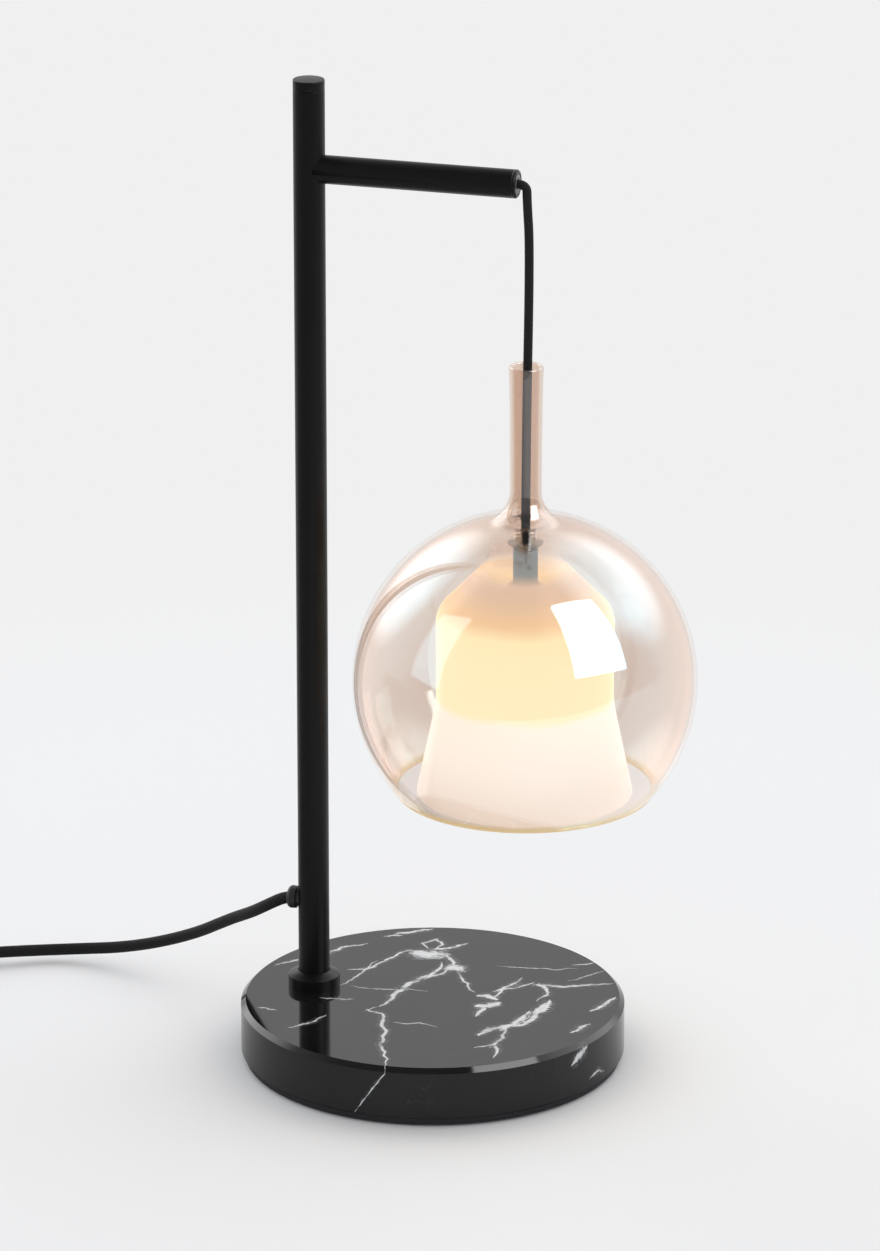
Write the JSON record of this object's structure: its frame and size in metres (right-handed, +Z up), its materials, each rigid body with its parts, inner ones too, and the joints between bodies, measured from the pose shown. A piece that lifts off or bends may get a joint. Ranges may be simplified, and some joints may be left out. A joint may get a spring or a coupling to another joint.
{
  "type": "table lamp",
  "caption": "Table lamp with a round stone base, a black steel pole and short arm, and a tinted glass globe hanging on its cord around an opal inner diffuser.",
  "frame": {"origin": "middle of the base's underside, on the surface the lamp stands on", "axes": "+Z up along the pole; +X from the pole towards the hanging globe; +Y completes the frame"},
  "size_m": [0.5759, 0.2567, 0.52],
  "materials": {
    "black_marble": "polished black marble with white veins",
    "black_steel": "satin black powder coat",
    "plain_steel": "zinc-plated steel",
    "gunmetal": "dark satin metal",
    "felt": "pressed felt",
    "black_rubber": "moulded rubber",
    "black_textile": "braided textile sleeve",
    "grey_nylon": "moulded nylon",
    "black_plastic": "moulded plastic, fine texture",
    "brass": "turned brass",
    "tinted_glass": "champagne tinted, thinly metallised blown glass",
    "opal_glass": "opal blown glass",
    "clear_acrylic": "clear acrylic",
    "silicone": "translucent silicone",
    "porcelain": "white porcelain",
    "lamp_glass": "frosted lamp glass"
  },
  "bodies": {
    "stand": {"marble_base": "black_marble", "base_plate": "plain_steel", "base_plate_screws": "plain_steel", "base_screw_inserts": "brass", "foot_pad": "felt", "pole_bolt": "plain_steel", "pole_bolt_washer": "plain_steel", "pole_foot_plug": "plain_steel", "pole_collar": "black_steel", "pole_tube": "black_steel", "pole_cap": "black_steel", "pole_grommet": "black_rubber", "mains_lead_in_pole": "black_textile", "cord_splice": "black_plastic", "lamp_lead_in_pole_and_arm": "black_textile", "arm_tube": "black_steel", "arm_spigot": "plain_steel", "arm_end_cap": "black_steel", "arm_bush": "grey_nylon", "cord_anchor": "black_plastic", "mains_cord_lead": "black_textile", "switch_lower_half": "black_plastic", "switch_upper_half": "black_plastic", "switch_screws": "plain_steel", "switch_rocker_pin": "plain_steel", "switch_cord_ends": "black_textile", "switch_strain_reliefs": "black_rubber", "mains_cord_link": "black_textile", "mains_cord_coil": "black_textile", "cord_tie": "black_textile", "mains_cord_tail": "black_textile", "plug_strain_relief": "black_rubber", "plug_body": "black_plastic", "plug_pins": "brass"},
    "pendant_bend": {"pendant_cord_bend": "black_textile"},
    "pendant_drop": {"pendant_cord_drop": "black_textile"},
    "pendant_globe": {"glass_globe": "tinted_glass", "globe_seat": "clear_acrylic", "globe_seat_ring": "silicone", "diffuser_upper_washer": "silicone", "diffuser_lower_washer": "silicone", "inner_diffuser": "opal_glass", "cord_grip": "gunmetal", "grip_screw": "gunmetal", "holder_nipple": "brass", "lampholder": "porcelain", "bulb_pins": "plain_steel", "bulb_base": "porcelain", "bulb_capsule": "lamp_glass"},
    "rocker": {"switch_rocker": "black_plastic"}
  },
  "joints": [
    {"name": "pendant_sway", "type": "hinge", "parent": "stand", "child": "pendant_bend", "pos_m": [0.0492, 0, 0.4738], "axis": [1, 0, 0], "range_deg": [-22, 22]},
    {"name": "pendant_swing", "type": "hinge", "parent": "pendant_bend", "child": "pendant_drop", "pos_m": [0.0492, 0, 0.466], "axis": [0, -1, 0], "range_deg": [-3.5, 25]},
    {"name": "globe_twist", "type": "hinge", "parent": "pendant_drop", "child": "pendant_globe", "pos_m": [0.0492, 0, 0.2825], "axis": [0, 0, 1], "range_deg": [-90, 90]},
    {"name": "switch_rocker_tilt", "type": "hinge", "parent": "stand", "child": "rocker", "pos_m": [-0.31144, 0.0206, 0.014], "axis": [0.53, -0.848, 0], "range_deg": [0, 14]}
  ]
}
